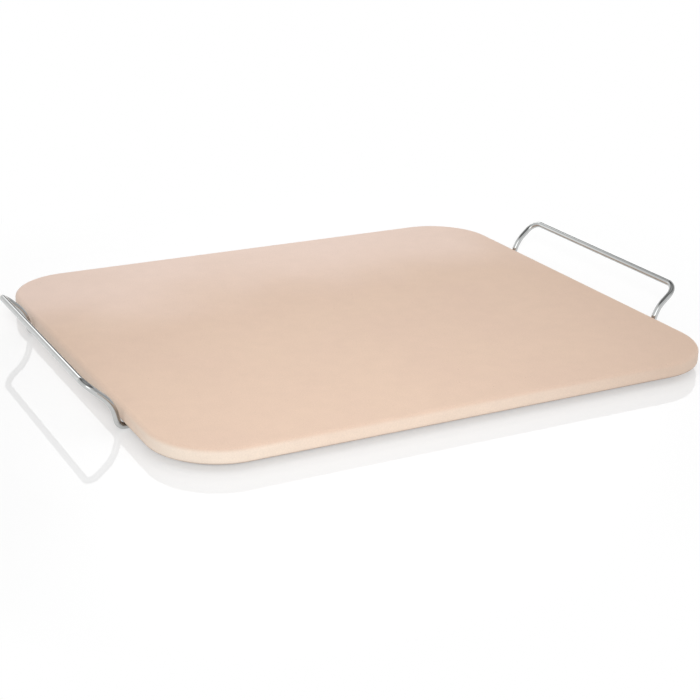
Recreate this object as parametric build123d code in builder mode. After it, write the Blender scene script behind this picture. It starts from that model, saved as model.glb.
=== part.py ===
"""Rectangular baking stone that rests loose on a bent-wire rack.

The origin is on the surface that the rack stands on, under the middle of the stone.
+X runs along the stone's length, -Y is the front long side and +Z is up.
"""

from build123d import *
import os

os.makedirs("parts", exist_ok=True)

# Sizes of the stone, in millimetres
stone_length = 400.0
stone_width = 350.0
stone_thickness = 10.0
stone_corner_radius = 47.0
stone_top_edge_radius = 3.0
stone_bottom_edge_radius = 1.2

# Sizes of the rack, in millimetres
wire_diameter = 4.3
rail_spacing = 180.5
handle_overhang = 25.0
handle_top_height = 35.0
rest_gap = 0.3

# How each handle's wire is bent between its rails and its bar
foot_clearance = 0.55
foot_bend_radius = 5.0
knee_height = 18.0
knee_reach = 3.5
knee_bend_radius = 24.0
bar_bend_radius = 9.0
tail_length = 30.0

# Cross wires, and the welds that hold the rack together
cross_wire_inset = 50.0
cross_wire_relief = 0.5
butt_weld_width = 1.6
butt_weld_flare = 0.35
butt_weld_grind = 0.1
fillet_weld_length = 2.4
fillet_weld_relief = 0.05
fillet_weld_lip = 0.2

# Places that follow from the sizes
wire_radius = wire_diameter / 2
cross_wire_radius = wire_radius - cross_wire_relief
stone_base = wire_diameter + rest_gap
stone_end = stone_length / 2
rail_y = rail_spacing / 2
weld_x = stone_end - tail_length
cross_wire_x = weld_x - cross_wire_inset
foot_x = stone_end + foot_clearance + wire_radius
knee_x = foot_x + knee_reach
bar_x = stone_end + handle_overhang - wire_radius
bar_z = handle_top_height - wire_radius
tail_end_x = weld_x + butt_weld_width / 2
rail_half_length = weld_x - butt_weld_width / 2
ground_weld_height = wire_diameter - 2 * butt_weld_grind

# The stone: one pressed slab with broad round corners and a softened top edge
with BuildPart() as baking_stone:
    with BuildSketch(Plane.XY.offset(stone_base)):
        RectangleRounded(stone_length, stone_width, stone_corner_radius)
    extrude(amount=stone_thickness)
    fillet(baking_stone.edges().group_by(Axis.Z)[-1], stone_top_edge_radius)
    fillet(baking_stone.edges().group_by(Axis.Z)[0], stone_bottom_edge_radius)
baking_stone.part.label = "baking_stone"
export_step(baking_stone.part, "parts/baking_stone.step")

# The rails: two straight wires that lie on the table and carry the stone
for rail_name, side in (("front_rail", -1), ("rear_rail", 1)):
    with BuildPart() as rail:
        with BuildSketch(Plane.YZ.offset(-rail_half_length)):
            with Locations((side * rail_y, wire_radius)):
                Circle(wire_radius)
        extrude(amount=2 * rail_half_length)
    rail.part.label = rail_name
    export_step(rail.part, f"parts/{rail_name}.step")

# The handles: each is one wire, from a rail up the stone's end, across and down to the other rail
for handle_name, end in (("left_handle", -1), ("right_handle", 1)):
    with BuildPart() as handle:
        with BuildLine() as bent_wire:
            FilletPolyline(
                (end * tail_end_x, -rail_y, wire_radius),
                (end * foot_x, -rail_y, wire_radius),
                (end * knee_x, -rail_y, knee_height),
                (end * bar_x, -rail_y, bar_z),
                (end * bar_x, rail_y, bar_z),
                (end * knee_x, rail_y, knee_height),
                (end * foot_x, rail_y, wire_radius),
                (end * tail_end_x, rail_y, wire_radius),
                radius=[
                    foot_bend_radius,
                    knee_bend_radius,
                    bar_bend_radius,
                    bar_bend_radius,
                    knee_bend_radius,
                    foot_bend_radius,
                ],
            )
        with BuildSketch(Plane(origin=bent_wire.wire() @ 0, z_dir=bent_wire.wire() % 0)):
            Circle(wire_radius)
        sweep(path=bent_wire.wire())
    handle.part.label = handle_name
    export_step(handle.part, f"parts/{handle_name}.step")

# The cross wires: thinner, level with the rails and coped onto them, clear of table and stone
for cross_wire_name, end in (("left_cross_wire", -1), ("right_cross_wire", 1)):
    with BuildPart() as cross_wire:
        with BuildSketch(Plane.XZ.offset(-rail_y)):
            with Locations((end * cross_wire_x, wire_radius)):
                Circle(cross_wire_radius)
        extrude(amount=2 * rail_y)
        with BuildSketch(Plane.YZ.offset(-rail_half_length)):
            with Locations((-rail_y, wire_radius), (rail_y, wire_radius)):
                Circle(wire_radius)
        extrude(amount=2 * rail_half_length, mode=Mode.SUBTRACT)
    cross_wire.part.label = cross_wire_name
    export_step(cross_wire.part, f"parts/{cross_wire_name}.step")

# The butt welds: rings where the handles' tails meet the rails, ground flat above and below
with BuildPart() as butt_welds:
    for end in (-1, 1):
        with BuildSketch(Plane.YZ.offset(end * weld_x - butt_weld_width / 2)):
            with Locations((-rail_y, wire_radius), (rail_y, wire_radius)):
                Circle(wire_radius + butt_weld_flare)
            with Locations((0, wire_radius)):
                Rectangle(2 * rail_spacing, ground_weld_height, mode=Mode.INTERSECT)
        extrude(amount=butt_weld_width)
butt_welds.part.label = "butt_welds"
export_step(butt_welds.part, "parts/butt_welds.step")

# The fillet welds: collars round the cross wires' ends, each seated on a rail's inner side
weld_root = wire_radius - fillet_weld_relief
weld_toe = cross_wire_radius + fillet_weld_lip
toe_y = rail_y - wire_radius - fillet_weld_length
with BuildPart() as cross_wire_welds:
    for end in (-1, 1):
        weld_axis = Axis((end * cross_wire_x, 0, wire_radius), (0, 1, 0))
        for side in (-1, 1):
            collar_plane = Plane(origin=weld_axis.position, x_dir=(0, side, 0), z_dir=(side, 0, 0))
            with BuildSketch(collar_plane):
                with BuildLine():
                    Polyline(
                        (toe_y, cross_wire_radius),
                        (rail_y, cross_wire_radius),
                        (rail_y, weld_root),
                        (rail_y - wire_radius, weld_root),
                        (toe_y, weld_toe),
                        close=True,
                    )
                make_face()
            revolve(axis=weld_axis)
    with BuildSketch(Plane.YZ.offset(-rail_half_length)):
        with Locations((-rail_y, wire_radius), (rail_y, wire_radius)):
            Circle(wire_radius)
    extrude(amount=2 * rail_half_length, mode=Mode.SUBTRACT)
cross_wire_welds.part.label = "cross_wire_welds"
export_step(cross_wire_welds.part, "parts/cross_wire_welds.step")
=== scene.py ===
import math

import bmesh
import bpy
import numpy as np
from mathutils import Matrix, Vector


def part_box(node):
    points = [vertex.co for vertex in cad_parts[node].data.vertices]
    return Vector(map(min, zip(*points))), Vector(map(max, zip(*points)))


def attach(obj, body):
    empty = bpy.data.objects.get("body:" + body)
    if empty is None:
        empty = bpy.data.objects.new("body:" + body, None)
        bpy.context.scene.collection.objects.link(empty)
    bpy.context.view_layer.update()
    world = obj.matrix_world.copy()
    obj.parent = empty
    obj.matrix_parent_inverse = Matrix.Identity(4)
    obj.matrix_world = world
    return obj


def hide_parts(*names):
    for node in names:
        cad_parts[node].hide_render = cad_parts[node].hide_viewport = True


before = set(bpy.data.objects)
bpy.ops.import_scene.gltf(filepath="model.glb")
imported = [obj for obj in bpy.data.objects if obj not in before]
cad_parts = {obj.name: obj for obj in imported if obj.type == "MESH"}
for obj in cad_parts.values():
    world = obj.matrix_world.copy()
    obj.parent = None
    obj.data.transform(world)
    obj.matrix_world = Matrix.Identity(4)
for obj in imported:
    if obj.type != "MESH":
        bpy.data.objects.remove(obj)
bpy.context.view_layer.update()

millimetre = 0.001

# The handles: each is one length of drawn steel wire, bent cold in a jig and chromed.
# From its tail under the stone it turns up at the foot, leans out from the knee
# and runs straight across as the bar, which fingers close round.
rail_low, rail_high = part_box("front_rail")
wire_radius = (rail_high.z - rail_low.z) / 2
rail_y = (rail_low.y + rail_high.y) / 2
stone_low, stone_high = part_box("baking_stone")
foot_clearance = 0.55 * millimetre
foot_bend_radius = 5 * millimetre
knee_height = 18 * millimetre
knee_reach = 3.5 * millimetre
knee_bend_radius = 24 * millimetre
bar_bend_radius = 9 * millimetre
wire_step = 1.5 * millimetre
bend_step = 0.4 * millimetre
wire_sides = 48
end_round = 0.25 * millimetre
merge_distance = 0.001 * millimetre
chrome_bright = (0.560, 0.570, 0.565)
chrome_hazy = (0.520, 0.531, 0.528)
chrome_scuff = (0.42, 0.43, 0.43)
draw_line_stretch = (14, 30)
draw_line_depth = 0.012 * millimetre
# Scales of noise and cells are counts to the metre, here and on the other pieces.
haze_scale = 160
scuff_scale = 900


def even_steps(start, end, step):
    """Values from start to end, evenly spaced, no further apart than step."""
    return np.linspace(start, end, max(2, math.ceil(abs(end - start) / step) + 1))


def bent_line(corners, radii):
    """Centre line of a bent wire: straight runs joined by round bends. A bend of radius r leaves
    its run r times the tangent of half the turn before the corner, and turns about a centre that
    lies on the corner's bisector."""
    corners = np.array(corners, float)
    stretches = []
    start = corners[0]
    for before, corner, after, radius in zip(corners, corners[1:], corners[2:], radii):
        inward = (corner - before) / np.linalg.norm(corner - before)
        onward = (after - corner) / np.linalg.norm(after - corner)
        turn = math.acos(float(np.clip(inward @ onward, -1, 1)))
        lead = radius * math.tan(turn / 2)
        enter = corner - inward * lead
        share = even_steps(0, 1, wire_step / np.linalg.norm(enter - start))[:-1, None]
        stretches.append(start + share * (enter - start))
        side = onward - inward * (inward @ onward)
        side = side / np.linalg.norm(side)
        angle = even_steps(0, turn, bend_step / radius)[:-1, None]
        stretches.append(enter + radius * (inward * np.sin(angle) + side * (1 - np.cos(angle))))
        start = corner + onward * lead
    share = even_steps(0, 1, wire_step / np.linalg.norm(corners[-1] - start))[:, None]
    stretches.append(start + share * (corners[-1] - start))
    return np.concatenate(stretches)


def wire_surface(line, radius, aside):
    """Round wire: a circle carried along a line, square to it, with its first direction nearest
    to aside. The radius draws in over the last bit at each end and closes to a point on a flat cap.
    With it come the share of the girth round the circle and the metres along the line."""
    aside = np.array(aside, float)
    tangent = np.gradient(line, axis=0)
    tangent /= np.linalg.norm(tangent, axis=1, keepdims=True)
    first = aside - (tangent @ aside)[:, None] * tangent
    first /= np.linalg.norm(first, axis=1, keepdims=True)
    second = np.cross(tangent, first)
    run = np.concatenate([[0], np.cumsum(np.linalg.norm(np.diff(line, axis=0), axis=1))])
    ends = np.array([0, 0, 0.35, 1.0]) * end_round
    girth = np.array([0, radius - end_round, radius - 0.3 * end_round, radius])
    keep = (run > end_round) & (run < run[-1] - end_round)
    place = np.concatenate([ends, run[keep], (run[-1] - ends)[::-1]])
    width = np.concatenate([girth, np.full(keep.sum(), radius), girth[::-1]])
    centre, first, second = (
        np.stack([np.interp(place, run, values[:, axis]) for axis in range(3)], axis=1)
        for values in (line, first, second)
    )
    angle = np.linspace(0, 2 * math.pi, wire_sides + 1)
    cosine, sine = np.cos(angle)[None, :, None], np.sin(angle)[None, :, None]
    ring = first[:, None] * cosine + second[:, None] * sine
    points = centre[:, None] + width[:, None, None] * ring
    return points, angle / (2 * math.pi), place


def grid_quads(index):
    """Four-sided faces between the neighbouring points of a grid of point numbers."""
    corners = (index[:-1, :-1], index[:-1, 1:], index[1:, 1:], index[1:, :-1])
    return np.stack(corners, axis=-1).reshape(-1, 4)


def closed_piece(name, points, quads, uv=None):
    """A smooth mesh object at the origin, its doubles merged and its faces turned outwards."""
    mesh = bpy.data.meshes.new(name)
    mesh.from_pydata(points.tolist(), [], quads.tolist())
    if uv is not None:
        corner_vertex = np.empty(len(mesh.loops), np.int32)
        mesh.loops.foreach_get("vertex_index", corner_vertex)
        corner_uv = uv[corner_vertex].astype(np.float32)
        mesh.uv_layers.new(name="wire").data.foreach_set("uv", corner_uv.ravel())
    shell = bmesh.new()
    shell.from_mesh(mesh)
    bmesh.ops.remove_doubles(shell, verts=shell.verts, dist=merge_distance)
    bmesh.ops.recalc_face_normals(shell, faces=shell.faces)
    shell.to_mesh(mesh)
    shell.free()
    mesh.polygons.foreach_set("use_smooth", np.ones(len(mesh.polygons), bool))
    piece = bpy.data.objects.new(name, mesh)
    bpy.context.scene.collection.objects.link(piece)
    return piece


def wire_piece(name, line, radius, aside):
    """A closed wire with a UV map that holds the share round it and the metres along it."""
    points, around, along = wire_surface(line, radius, aside)
    index = np.arange(points.shape[0] * points.shape[1]).reshape(points.shape[:2])
    uv = np.stack([np.tile(around, len(along)), np.repeat(along, len(around))], axis=1)
    return closed_piece(name, points.reshape(-1, 3), grid_quads(index), uv)


class Nodes:
    """A node tree, with short calls for the nodes that finishes and light are mixed from.
    A value in a call is a number, a colour or another node's output."""

    def __init__(self, owner):
        owner.use_nodes = True
        self.tree = owner.node_tree
        self.tree.nodes.clear()

    def give(self, socket, value):
        """Links an output to an input, or sets a plain value on it."""
        if isinstance(value, bpy.types.NodeSocket):
            self.tree.links.new(value, socket)
        else:
            socket.default_value = value

    def fill(self, node, inputs):
        """Gives a node its inputs by name, where an underscore stands for a space."""
        for name, value in inputs.items():
            self.give(node.inputs[name.replace("_", " ")], value)

    def add(self, kind, **inputs):
        """A new node of one kind, with its inputs given by name."""
        node = self.tree.nodes.new(kind)
        self.fill(node, inputs)
        return node

    def place(self):
        """The place on a piece, in metres from its object's origin."""
        return self.add("ShaderNodeTexCoord").outputs["Object"]

    def part(self, place, axis):
        """The X, Y or Z of a place."""
        return self.add("ShaderNodeSeparateXYZ", Vector=place).outputs[axis]

    def ramp(self, value, low, high, to_low=0.0, to_high=1.0, kind="LINEAR"):
        """A value taken from one range to another, and held at its ends."""
        ranges = {"From_Min": low, "From_Max": high, "To_Min": to_low, "To_Max": to_high}
        node = self.add("ShaderNodeMapRange", Value=value, **ranges)
        node.interpolation_type = kind
        return node.outputs["Result"]

    def figure(self, kind, *values):
        """One sum on the values, by the name of the operation."""
        node = self.tree.nodes.new("ShaderNodeMath")
        node.operation = kind
        for socket, value in zip(node.inputs, values):
            self.give(socket, value)
        return node.outputs["Value"]

    def product(self, result, *others):
        """All the values multiplied together."""
        for other in others:
            result = self.figure("MULTIPLY", result, other)
        return result


class Finish(Nodes):
    """One procedural material, with the nodes that only a piece's finish needs."""

    def __init__(self, name):
        self.material = bpy.data.materials.new(name)
        super().__init__(self.material)
        self.shader = self.add("ShaderNodeBsdfPrincipled")
        self.add("ShaderNodeOutputMaterial", Surface=self.shader.outputs["BSDF"])

    def set(self, **inputs):
        """Gives the shader its inputs by name."""
        self.fill(self.shader, inputs)

    def along_wire(self, around, along):
        """The wire's own UV map, stretched: around times its girth and along times its length."""
        wire_map = self.add("ShaderNodeUVMap")
        wire_map.uv_map = "wire"
        stretch = {"Vector": wire_map.outputs["UV"], "Scale": (around, along, 1)}
        return self.add("ShaderNodeMapping", **stretch).outputs["Vector"]

    def mark(self, name):
        """A share that the mesh holds at each of its points."""
        node = self.add("ShaderNodeAttribute")
        node.attribute_name = name
        return node.outputs["Fac"]

    def noise(self, place, scale, detail=3.0, roughness=0.55):
        """Soft random lumps, with values round about a half."""
        grain = {"Scale": scale, "Detail": detail, "Roughness": roughness}
        return self.add("ShaderNodeTexNoise", Vector=place, **grain).outputs["Fac"]

    def cells(self, place, scale):
        """Distance to the nearest of many scattered points, and a random value for each point."""
        node = self.add("ShaderNodeTexVoronoi", Vector=place, Scale=scale)
        return node.outputs["Distance"], node.outputs["Color"]

    def blend(self, amount, first, second):
        """A colour that goes from first to second as the amount goes from 0 to 1."""
        node = self.tree.nodes.new("ShaderNodeMix")
        node.data_type = "RGBA"
        self.give(node.inputs["Factor"], amount)
        for socket, colour in zip((node.inputs["A"], node.inputs["B"]), (first, second)):
            self.give(socket, (*colour, 1) if isinstance(colour, tuple) else colour)
        return node.outputs["Result"]

    def shade(self, colour, amount):
        """A colour multiplied by an amount."""
        node = self.tree.nodes.new("ShaderNodeVectorMath")
        node.operation = "SCALE"
        self.give(node.inputs[0], colour)
        self.give(node.inputs["Scale"], amount)
        return node.outputs["Vector"]

    def bump(self, height, distance, strength=1.0):
        """Surface directions bent by a height, of which 1 stands for the distance."""
        bend = {"Height": height, "Distance": distance, "Strength": strength}
        return self.add("ShaderNodeBump", **bend).outputs["Normal"]


def chromed_wire():
    """Bright chrome over drawn wire: long faint draw lines, a little haze and tiny scuffs."""
    finish = Finish("chromed_wire")
    place = finish.place()
    draw_lines = finish.noise(finish.along_wire(*draw_line_stretch), 3.0, roughness=0.6)
    haze = finish.noise(place, haze_scale)
    scuff = finish.ramp(finish.noise(place, scuff_scale, detail=2.0), 0.64, 0.74)
    colour = finish.blend(finish.ramp(haze, 0.35, 0.7), chrome_bright, chrome_hazy)
    rough = finish.ramp(haze, 0.3, 0.7, 0.03, 0.07)
    finish.set(
        Base_Color=finish.blend(finish.product(scuff, 0.35), colour, chrome_scuff),
        Roughness=finish.figure("ADD", rough, finish.product(scuff, 0.10)),
        Normal=finish.bump(draw_lines, draw_line_depth, 0.5),
        Metallic=1.0,
    )
    return finish.material


chrome = chromed_wire()
foot_x = stone_high.x + foot_clearance + wire_radius
knee_x = foot_x + knee_reach
for handle_name, end in (("left_handle", -1), ("right_handle", 1)):
    handle_low, handle_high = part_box(handle_name)
    bar_x = max(abs(handle_low.x), abs(handle_high.x)) - wire_radius
    tail_x = min(abs(handle_low.x), abs(handle_high.x))
    bar_z = handle_high.z - wire_radius
    front_leg = [
        (end * tail_x, rail_y, wire_radius),
        (end * foot_x, rail_y, wire_radius),
        (end * knee_x, rail_y, knee_height),
        (end * bar_x, rail_y, bar_z),
    ]
    rear_leg = [(x, -y, z) for x, y, z in reversed(front_leg)]
    bends = [foot_bend_radius, knee_bend_radius, bar_bend_radius]
    line = bent_line(front_leg + rear_leg, bends + bends[::-1])
    lean = Vector((end * (bar_x - knee_x), 0, bar_z - knee_height)).normalized()
    handle = wire_piece(f"{handle_name}_wire", line, wire_radius, (lean.z, 0, -lean.x))
    handle.data.materials.append(chrome)
    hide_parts(handle_name)
    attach(handle, "rack")

# The rails: two straight lengths of the same wire that lie on the table and carry the stone.
# Their ends are butt-welded to the handles' tails, so that the rack is one closed loop.
straight_step = 3 * millimetre


def straight_wire(name, start, end, radius):
    """A wire whose line is its start plus even shares of the way to its end."""
    start, end = np.array(start), np.array(end)
    share = even_steps(0, 1, straight_step / np.linalg.norm(end - start))[:, None]
    return wire_piece(name, start + share * (end - start), radius, (0, 0, 1))


for rail_name in ("front_rail", "rear_rail"):
    low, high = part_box(rail_name)
    middle_y = (low.y + high.y) / 2
    ends = ((low.x, middle_y, wire_radius), (high.x, middle_y, wire_radius))
    rail = straight_wire(f"{rail_name}_wire", *ends, wire_radius)
    rail.data.materials.append(chrome)
    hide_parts(rail_name)
    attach(rail, "rack")

# The cross wires: thinner wire, cut to length, coped onto the rails and welded.
# They keep the rails apart, level with them and clear of both the table and the stone.
for cross_wire_name in ("left_cross_wire", "right_cross_wire"):
    low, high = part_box(cross_wire_name)
    middle_x = (low.x + high.x) / 2
    ends = ((middle_x, low.y, wire_radius), (middle_x, high.y, wire_radius))
    cross_wire = straight_wire(f"{cross_wire_name}_wire", *ends, (high.z - low.z) / 2)
    cross_wire.data.materials.append(chrome)
    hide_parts(cross_wire_name)
    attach(cross_wire, "rack")

# The welds: small collars of metal where the wires meet, ground back and chromed with the rack.
# They are rougher than the drawn wire and a little duller.
weld_dull = (0.47, 0.48, 0.478)
weld_bright = (0.56, 0.568, 0.565)
weld_ripple_scale = 1200
weld_ripple_depth = 0.08 * millimetre


def chromed_weld():
    """Chrome over a ground weld: rippled, hazier and slightly darker than the wire."""
    finish = Finish("chromed_weld")
    ripple = finish.noise(finish.place(), weld_ripple_scale, roughness=0.6)
    finish.set(
        Base_Color=finish.blend(finish.ramp(ripple, 0.3, 0.7), weld_dull, weld_bright),
        Roughness=finish.ramp(ripple, 0.3, 0.7, 0.2, 0.34),
        Normal=finish.bump(ripple, weld_ripple_depth, 0.7),
        Metallic=1.0,
    )
    return finish.material


weld_finish = chromed_weld()
for weld_name in ("butt_welds", "cross_wire_welds"):
    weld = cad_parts[weld_name]
    weld.data.materials.clear()
    weld.data.materials.append(weld_finish)

# The baking stone: one slab of pinkish cordierite with broad round corners, pressed in a mould and
# fired unglazed, which leaves it very slightly wavy and sandy to the touch. Painted light makes the
# sides paler, and painted shade makes the bottom edge a little darker.
stone_corner_radius = 47 * millimetre
stone_top_edge_radius = 3 * millimetre
stone_bottom_edge_radius = 1.2 * millimetre
stone_mesh_step = 2 * millimetre
stone_edge_steps = 8
stone_side_steps = 4
stone_wave_depth = 0.12 * millimetre
stone_wave_reach = 1.6
stone_face_waves = (120 * millimetre, 12 * millimetre)
stone_rim_waves = (90 * millimetre, 8 * millimetre)
stone_clay = (0.757, 0.578, 0.456)
stone_pink_clay = (0.744, 0.564, 0.450)
# Painted sheen: the paler, greyer clay painted towards the back edge.
stone_back_sheen_clay = (0.890, 0.722, 0.635)
# Painted light: the paler clay painted on the sides, and the painted highlight on the top edge.
stone_painted_light_clay = (0.840, 0.735, 0.635)
# Painted shade: the darker clay painted on the bottom edge.
stone_foot_shade_clay = (0.33, 0.22, 0.16)
stone_speck = (0.40, 0.27, 0.20)
stone_grog = (0.86, 0.74, 0.64)
stone_cloud_scale = 16
stone_mottle_scale = 90
stone_grain_scale = 1300
stone_pore_scale = 420
stone_relief = 0.12 * millimetre
# For each kind of spot: its scale, the chance that a cell has to beat, its strength and colour.
stone_spots = ((260, 0.86, 0.55, stone_speck), (330, 0.8, 0.6, stone_grog))
# Where the painted light changes: the sheen along Y at the back, the sides' light along Y at the
# front and X at the left and right.
stone_back_sheen_zone = (100 * millimetre, 260 * millimetre)
stone_back_sheen_wander = 160 * millimetre
stone_wander_scale = 7
stone_front_zone = (-150 * millimetre, -100 * millimetre)
stone_left_zone = (-170 * millimetre, -100 * millimetre)
stone_right_zone = (50 * millimetre, 150 * millimetre)


def slab_rows(half_width, corner_radius, step):
    """Row places across a slab: even on the straight part, and at even angles round the corners."""
    straight = even_steps(corner_radius - half_width, half_width - corner_radius, step)
    angle = even_steps(0, math.pi / 2, step / corner_radius)[1:]
    round_end = half_width - corner_radius + corner_radius * np.sin(angle)
    return np.concatenate([-round_end[::-1], straight, round_end])


def slab_face(half_length, half_width, corner_radius, step):
    """Grid over a rounded rectangle. Each row runs between the two sides of the outline, so its
    half length is the slab's, less the corner radius, plus the arc's reach at that row."""
    rows = slab_rows(half_width, corner_radius, step)
    past = np.clip(np.abs(rows) - (half_width - corner_radius), 0, corner_radius)
    reach = half_length - corner_radius + np.sqrt(np.maximum(corner_radius**2 - past**2, 0))
    across = even_steps(-1, 1, step / half_length)
    x = across[None, :] * reach[:, None]
    y = np.repeat(rows[:, None], across.size, axis=1)
    return x, y


def rim_order(row_count, column_count):
    """Index of each grid point on the rim of a grid, once round, counter-clockwise from above."""
    index = np.arange(row_count * column_count).reshape(row_count, column_count)
    return np.concatenate([index[0, :-1], index[:-1, -1], index[-1, :0:-1], index[:0:-1, 0]])


def rim_normal(x, y, half_length, half_width, corner_radius):
    """Outward direction of a rounded rectangle at a point of its rim: away from the nearest point
    of the inner rectangle that is smaller by the corner radius all round."""
    inner_x = np.clip(x, corner_radius - half_length, half_length - corner_radius)
    inner_y = np.clip(y, corner_radius - half_width, half_width - corner_radius)
    away = np.stack([x - inner_x, y - inner_y], axis=1)
    return away / np.linalg.norm(away, axis=1, keepdims=True)


def pressing_waves(x, y, seed, longest, shortest, count=28):
    """Gentle waves left by pressing and firing: sine waves with random headings and phases, and
    lengths from longest to shortest. Each is as high as the root of its share of the longest, and
    their sum is divided by the root of their count."""
    draw = np.random.default_rng(seed)
    heading = draw.uniform(0, 2 * math.pi, count)
    phase = draw.uniform(0, 2 * math.pi, count)
    length = np.geomspace(longest, shortest, count)
    along = x[..., None] * np.cos(heading) + y[..., None] * np.sin(heading)
    wave = np.sin(2 * math.pi * along / length + phase) * np.sqrt(length / longest)
    return wave.sum(axis=-1) / np.sqrt(count)


def pressed_in(wave):
    """How deep a wave presses a face: not at all from the top of its reach up, the whole wave
    depth at the bottom of its reach, and evenly between."""
    return stone_wave_depth * np.maximum(0.5 - wave / (2 * stone_wave_reach), 0)


def stone_surface():
    """The slab: a face grid above and one below, joined by a rim profile of a top arc, a straight
    side and a small bottom arc, carried round the outline. Waves press every face slightly in."""
    flat = stone_top_edge_radius
    face_size = (stone_high.x - flat, stone_high.y - flat, stone_corner_radius - flat)
    x, y = slab_face(*face_size, stone_mesh_step)
    rim = rim_order(*x.shape)
    rim_x, rim_y = x.ravel()[rim], y.ravel()[rim]
    outward = rim_normal(rim_x, rim_y, *face_size)

    turn = np.linspace(0, math.pi / 2, stone_edge_steps + 1)
    top_out = flat * np.sin(turn)
    top_z = stone_high.z - flat * (1 - np.cos(turn))
    side_foot = stone_low.z + stone_bottom_edge_radius
    side_z = np.linspace(top_z[-1], side_foot, stone_side_steps + 1)[1:]
    side_out = np.full(side_z.size, flat)
    low_turn = turn[2::2]
    low_out = flat - stone_bottom_edge_radius * (1 - np.cos(low_turn))
    low_z = side_foot - stone_bottom_edge_radius * np.sin(low_turn)
    out = np.concatenate([top_out, side_out, low_out, [0]])
    level = np.concatenate([top_z, side_z, low_z, [stone_low.z]])

    rim_press = pressed_in(pressing_waves(rim_x, rim_y, 13, *stone_rim_waves))
    press_share = np.sin(np.linspace(0, math.pi, out.size))
    band_out = out[:, None] - press_share[:, None] * rim_press[None, :]
    band_x = rim_x[None, :] + band_out * outward[None, :, 0]
    band_y = rim_y[None, :] + band_out * outward[None, :, 1]
    band_z = np.repeat(level[:, None], rim.size, axis=1)
    band = np.stack([band_x, band_y, band_z], axis=-1)

    face_z = stone_high.z - pressed_in(pressing_waves(x, y, 11, *stone_face_waves))
    under_z = stone_low.z + pressed_in(-pressing_waves(x, y, 12, *stone_face_waves))
    top = np.stack([x, y, face_z], axis=-1).reshape(-1, 3)
    bottom = np.stack([x, y, under_z], axis=-1).reshape(-1, 3)
    band[0] = top[rim]
    band[-1] = bottom[rim]

    face_quads = grid_quads(np.arange(x.size).reshape(x.shape))
    band_index = np.arange(out.size * rim.size).reshape(out.size, rim.size) + x.size
    band_quads = grid_quads(np.concatenate([band_index, band_index[:, :1]], axis=1))
    bottom_quads = face_quads[:, ::-1] + x.size + out.size * rim.size
    points = np.concatenate([top, band.reshape(-1, 3), bottom])
    return points, np.concatenate([face_quads, band_quads[:, ::-1], bottom_quads])


def mark_sides(mesh):
    """Writes three shares to each point, as masks for painted light and shade. side is 0 on the top
    face and rises smoothly to 1 at the lower end of the top edge's round; it carries the sides'
    painted light. A second share is 1 halfway round the top edge and fades to 0 within 3 mm, for a
    painted highlight. A third is 1 low on the bottom edge's round, and 0 from 1.3 mm up and from
    2 mm in, for painted shade."""
    place = np.empty(len(mesh.vertices) * 3, np.float32)
    mesh.vertices.foreach_get("co", place)
    place = place.reshape(-1, 3)
    over_x = np.maximum(np.abs(place[:, 0]) - (stone_high.x - stone_corner_radius), 0)
    over_y = np.maximum(np.abs(place[:, 1]) - (stone_high.y - stone_corner_radius), 0)
    inset = stone_corner_radius - np.hypot(over_x, over_y)
    below = stone_high.z - place[:, 2]
    above = place[:, 2] - stone_low.z

    share = np.clip(below / stone_top_edge_radius, 0, 1)
    side = share * share * (3 - 2 * share)
    halfway = 0.3 * stone_top_edge_radius
    from_ridge = np.hypot(inset - halfway, below - halfway)
    ridge_highlight = np.exp(-((from_ridge / (0.5 * stone_top_edge_radius)) ** 2))
    foot_shade = np.clip(1.3 - above / millimetre, 0, 1) * np.clip(2 - inset / millimetre, 0, 1)
    for name, amount in (("side", side), ("ridge_highlight", ridge_highlight), ("foot_shade", foot_shade)):
        mark = mesh.attributes.new(name, "FLOAT", "POINT")
        mark.data.foreach_set("value", amount.astype(np.float32))


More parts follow.
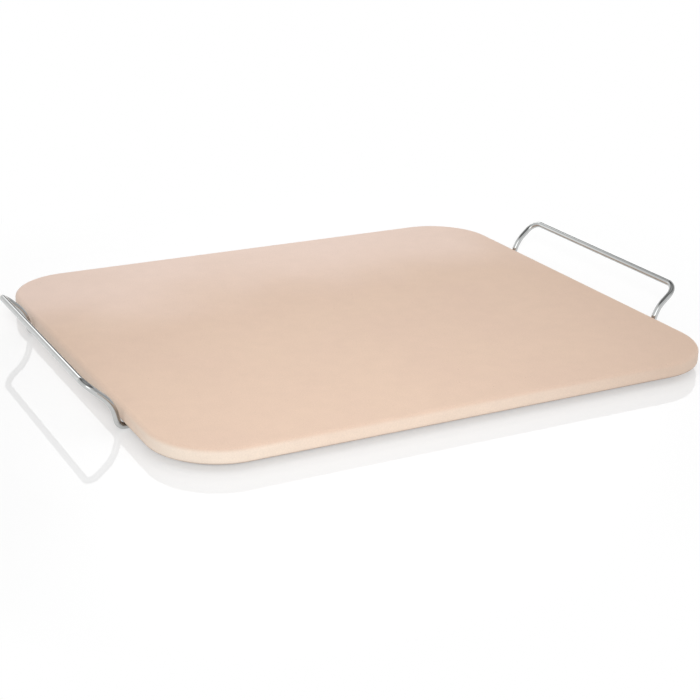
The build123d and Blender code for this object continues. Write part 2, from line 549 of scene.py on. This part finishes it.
def fired_stone():
    """Unglazed fired clay: faintly cloudy pinks and ochres, sandy grain, a few dark specks, pale
    grog and open pores. A painted sheen makes it paler and greyer towards the back edge. Painted
    light makes the sides paler, most of all at the front left corner, a painted highlight runs
    along the top edge, and painted shade darkens the bottom edge."""
    finish = Finish("fired_stone")
    place = finish.place()
    x, y = finish.part(place, "X"), finish.part(place, "Y")
    grain = finish.noise(place, stone_grain_scale, 4.0, 0.7)

    cloud = finish.ramp(finish.noise(place, stone_cloud_scale), 0.32, 0.68)
    colour = finish.blend(cloud, stone_clay, stone_pink_clay)
    # Painted sheen: the clay is painted paler and greyer towards the back edge, along a wandering
    # line.
    wander = finish.product(finish.noise(place, stone_wander_scale, 2.0), stone_back_sheen_wander)
    back_sheen = finish.figure("ADD", y, wander)
    back_sheen = finish.ramp(back_sheen, *stone_back_sheen_zone, 0.0, 0.85, "SMOOTHSTEP")
    colour = finish.blend(back_sheen, colour, stone_back_sheen_clay)

    # Painted light: the sides are painted paler, most at the front left, and a painted highlight
    # runs along the top edge.
    frontward = finish.ramp(y, *stone_front_zone, 1.0, 0.35)
    near_left = finish.ramp(x, *stone_left_zone, 1.0, 0.62)
    leftward = finish.ramp(x, *stone_right_zone, 1.0, 0.5)
    side = finish.product(finish.mark("side"), frontward, near_left, leftward)
    ridge_highlight = finish.product(finish.mark("ridge_highlight"), finish.ramp(grain, 0.3, 0.7, 0.06, 0.19))
    colour = finish.blend(finish.figure("MAXIMUM", side, ridge_highlight), colour, stone_painted_light_clay)
    # Painted shade: the bottom edge is painted darker.
    colour = finish.blend(finish.product(finish.mark("foot_shade"), 0.7), colour, stone_foot_shade_clay)

    mottle = finish.noise(place, stone_mottle_scale, 4.0, 0.6)
    mottle = finish.ramp(mottle, 0.3, 0.7, 0.985, 1.015)
    grain_tint = finish.ramp(grain, 0.25, 0.75, 0.93, 1.07)
    colour = finish.shade(colour, finish.product(mottle, grain_tint))
    for spot_scale, luckiest, strength, tint in stone_spots:
        distance, chance = finish.cells(place, spot_scale)
        lucky = finish.ramp(chance, luckiest, luckiest + 0.02, 0.0, strength)
        spot = finish.product(lucky, finish.ramp(distance, 0.04, 0.12, 1.0, 0.0))
        colour = finish.blend(spot, colour, tint)

    pore_distance, pore_chance = finish.cells(place, stone_pore_scale)
    deep = finish.ramp(pore_chance, 0.70, 0.72)
    pore = finish.product(finish.ramp(pore_distance, 0.0, 0.22, 1.0, 0.0), deep)
    relief = finish.figure("SUBTRACT", grain, pore)
    finish.set(
        Base_Color=colour,
        Roughness=finish.ramp(grain, 0.2, 0.8, 0.95, 0.84),
        Normal=finish.bump(relief, stone_relief, 0.5),
        Specular_IOR_Level=0.35,
        Diffuse_Roughness=0.6,
    )
    return finish.material


stone = closed_piece("pressed_stone", *stone_surface())
mark_sides(stone.data)
stone.data.materials.append(fired_stone())
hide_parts("baking_stone")
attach(stone, "stone")

# The table: a plain glossy white sheet that runs far back, so that no edge shows. It is part of
# the studio and not of the object. Its matt white takes the shadow, its polish mirrors what stands
# on it, and away from the stone a glow of its own takes over and keeps it plain white.
table_reach = 12.0
table_albedo = 0.90
table_polish = 0.09
# How far outside the stone's outline the glow sets in, and then takes over. Near the stone it has
# a share of near_glow, and past the stone's left end only left_glow times as much.
glow_sets_in = (-18 * millimetre, -8 * millimetre)
glow_takes_over = (80 * millimetre, 200 * millimetre)
near_glow = 0.45
left_end = (-240 * millimetre, -190 * millimetre)
left_glow = 0.7


def grey(tone):
    """An even grey, from 0 for black to 1 for white."""
    return (tone, tone, tone, 1)


def looked_at(nodes, *ray_kinds):
    """1 for rays of any of the given kinds, and 0 for all others."""
    path = nodes.add("ShaderNodeLightPath")
    answer = path.outputs[ray_kinds[0]]
    for kind in ray_kinds[1:]:
        answer = nodes.figure("MAXIMUM", answer, path.outputs[kind])
    return answer


def mix_shaders(nodes, amount, first, second):
    """A shader that goes from first to second as the amount goes from 0 to 1."""
    node = nodes.add("ShaderNodeMixShader", Fac=amount)
    nodes.give(node.inputs[1], first)
    nodes.give(node.inputs[2], second)
    return node.outputs["Shader"]


def from_stone(nodes, place):
    """Distance outside the stone's outline: the length of what a place lies past the inner
    rectangle on each axis, less the corner radius. It is below 0 under the stone."""
    past = []
    for axis, half in (("X", stone_high.x), ("Y", stone_high.y)):
        beyond = nodes.figure("ABSOLUTE", nodes.part(place, axis))
        beyond = nodes.figure("SUBTRACT", beyond, half - stone_corner_radius)
        past.append(nodes.figure("POWER", nodes.figure("MAXIMUM", beyond, 0.0), 2.0))
    length = nodes.figure("SQRT", nodes.figure("ADD", *past))
    return nodes.figure("SUBTRACT", length, stone_corner_radius)


table_white = bpy.data.materials.new("table_white")
sheet = Nodes(table_white)
place = sheet.place()
away = from_stone(sheet, place)
far = sheet.ramp(away, *glow_takes_over)
left_shade = sheet.ramp(sheet.part(place, "X"), *left_end, left_glow, 1.0)
left_shade = sheet.figure("MAXIMUM", far, left_shade)
near_share = sheet.product(sheet.ramp(away, *glow_sets_in, 0.0, near_glow), left_shade)
far_share = sheet.product(far, 1.0 - near_glow)
looked = looked_at(sheet, "Is Camera Ray", "Is Glossy Ray", "Is Transmission Ray")
glow_share = sheet.product(looked, sheet.figure("ADD", near_share, far_share))
mirror_share = sheet.product(looked, table_polish)
matt = sheet.add("ShaderNodeBsdfDiffuse", Color=grey(table_albedo)).outputs["BSDF"]
polish = sheet.add("ShaderNodeBsdfGlossy", Color=grey(1), Roughness=0.0).outputs["BSDF"]
glow = sheet.add("ShaderNodeEmission", Color=grey(1), Strength=1.0).outputs["Emission"]
surface = mix_shaders(sheet, mirror_share, matt, polish)
surface = mix_shaders(sheet, glow_share, surface, glow)
sheet.add("ShaderNodeOutputMaterial", Surface=surface)

corners = [(-1, -1), (1, -1), (1, 1), (-1, 1)]
points = [(x * table_reach, y * table_reach, 0) for x, y in corners]
floor_mesh = bpy.data.meshes.new("table")
floor_mesh.from_pydata(points, [], [(0, 1, 2, 3)])
floor_mesh.materials.append(table_white)
floor = bpy.data.objects.new("table", floor_mesh)
bpy.context.scene.collection.objects.link(floor)

# The light: a pale dome, brightest overhead and dimmer towards the back left, and one soft lamp in
# front. Bright metal sees pale walls, brightest at the back left and with a dark gap behind the
# table, two bright panels and a dim ceiling. The table's polish sees a bright screen.
dome_low = 0.26
dome_high = 1.16
dome_left = 0.6
screen_low = 3.8
screen_high = 2.6
panel_strength = 2.2
# The walls' tones by height, from level to straight overhead.
wall_tones = (
    (0.0, 1.0), (0.08, 0.88), (0.60, 0.86), (0.68, 0.50), (0.73, 0.14), (0.82, 0.14), (1.0, 0.5)
)
dome_dim_heading = (-0.85, 0.5, 0.1)
right_wall_heading = (0.85, -0.52, 0.1)
wall_gap_heading = (0.55, 0.80, 0.22)
back_panel_heading = (0.148, 0.821, 0.551)
left_panel_heading = (-0.68, -0.72, 0.16)
lamp_place = Vector((-0.56, -1.07, 0.58))
lamp_target = Vector((-0.055, -0.13, 0.015))

world = bpy.data.worlds.new("studio")
bpy.context.scene.world = world
studio = Nodes(world)
heading = studio.add("ShaderNodeTexCoord").outputs["Generated"]
height = studio.part(heading, "Z")


def sky_light(strength):
    """A white background light of one strength, or of one that varies with the heading."""
    light = studio.add("ShaderNodeBackground", Color=grey(1), Strength=strength)
    return light.outputs["Background"]


def facing(direction):
    """How nearly a heading points in one direction: 1 straight at it, and 0 square to it."""
    node = studio.tree.nodes.new("ShaderNodeVectorMath")
    node.operation = "DOT_PRODUCT"
    studio.give(node.inputs[0], heading)
    studio.give(node.inputs[1], Vector(direction).normalized())
    return node.outputs["Value"]


tones = studio.add("ShaderNodeValToRGB", Fac=height)
stops = tones.color_ramp.elements
stops[0].color = grey(wall_tones[0][1])
stops[1].color = grey(wall_tones[-1][1])
for position, tone in wall_tones[1:-1]:
    stops.new(position).color = grey(tone)
right_wall = studio.ramp(facing(right_wall_heading), 0.55, 0.85, 1.0, 0.6)
wall_gap = studio.ramp(facing(wall_gap_heading), 0.94, 0.98, 1.0, 0.1)
back_wall = studio.ramp(studio.part(heading, "Y"), 0.72, 0.78, 0.0, 0.45)
back_left = studio.ramp(studio.part(heading, "X"), -0.50, -0.35, 1.0, 0.0)
window = studio.figure("ADD", studio.product(back_wall, back_left), 1.0)
walls = sky_light(studio.product(tones.outputs["Color"], right_wall, wall_gap, window))

back_panel = studio.ramp(facing(back_panel_heading), 0.972, 0.986)
back_panel = studio.product(back_panel, studio.ramp(height, 0.57, 0.61, 1.0, 0.0))
left_panel = studio.ramp(facing(left_panel_heading), 0.93, 0.96)
panels = studio.figure("MAXIMUM", back_panel, left_panel)
seen = mix_shaders(studio, panels, walls, sky_light(panel_strength))

dome_dim = studio.ramp(facing(dome_dim_heading), -0.1, 0.9, 1.0, dome_left)
dome = sky_light(studio.product(studio.ramp(height, 0.0, 1.0, dome_low, dome_high), dome_dim))
screen = sky_light(studio.ramp(height, 0.25, 0.45, screen_low, screen_high))
sky = mix_shaders(studio, looked_at(studio, "Is Glossy Ray", "Is Transmission Ray"), dome, seen)
sky = mix_shaders(studio, looked_at(studio, "Is Singular Ray"), sky, screen)
sky = mix_shaders(studio, looked_at(studio, "Is Camera Ray"), sky, sky_light(1.0))
studio.add("ShaderNodeOutputWorld", Surface=sky)

lamp_data = bpy.data.lights.new("front_lamp", "SPOT")
lamp_data.energy = 26
lamp_data.shadow_soft_size = 0.14
lamp_data.spot_size = math.radians(32)
lamp_data.spot_blend = 1.0
lamp = bpy.data.objects.new("front_lamp", lamp_data)
bpy.context.scene.collection.objects.link(lamp)
lamp.visible_glossy = False
lamp.location = lamp_place
lamp.rotation_euler = (lamp_target - lamp_place).to_track_quat("-Z", "Y").to_euler()

# The camera: the photograph's own view, found by matching the stone's edges, the handles and
# their reflections in the table. The picture is 700 by 700 pixels.
picture_width = 700
focal_pixels = 1521.75
view_yaw = math.radians(28.431)
view_pitch = math.radians(21.001)
view_roll = math.radians(1.353)
view_distance = 1058.4 * millimetre
aim = Vector((-11.67 * millimetre, -29.61 * millimetre, 0))
camera_data = bpy.data.cameras.new("camera")
camera_data.sensor_width = 36
camera_data.lens = focal_pixels * camera_data.sensor_width / picture_width
camera_data.clip_start = 0.05
camera_data.clip_end = 60
camera = bpy.data.objects.new("camera", camera_data)
bpy.context.scene.collection.objects.link(camera)
level_forward = Vector((math.sin(view_yaw), math.cos(view_yaw), 0))
forward = level_forward * math.cos(view_pitch) - Vector((0, 0, math.sin(view_pitch)))
level_right = Vector((math.cos(view_yaw), -math.sin(view_yaw), 0))
level_up = level_right.cross(forward)
right = level_right * math.cos(view_roll) + level_up * math.sin(view_roll)
up = level_up * math.cos(view_roll) - level_right * math.sin(view_roll)
turned = Matrix((right, up, -forward)).transposed().to_4x4()
camera.matrix_world = Matrix.Translation(aim - forward * view_distance) @ turned
bpy.context.scene.camera = camera
bpy.context.scene.view_settings.view_transform = "Standard"
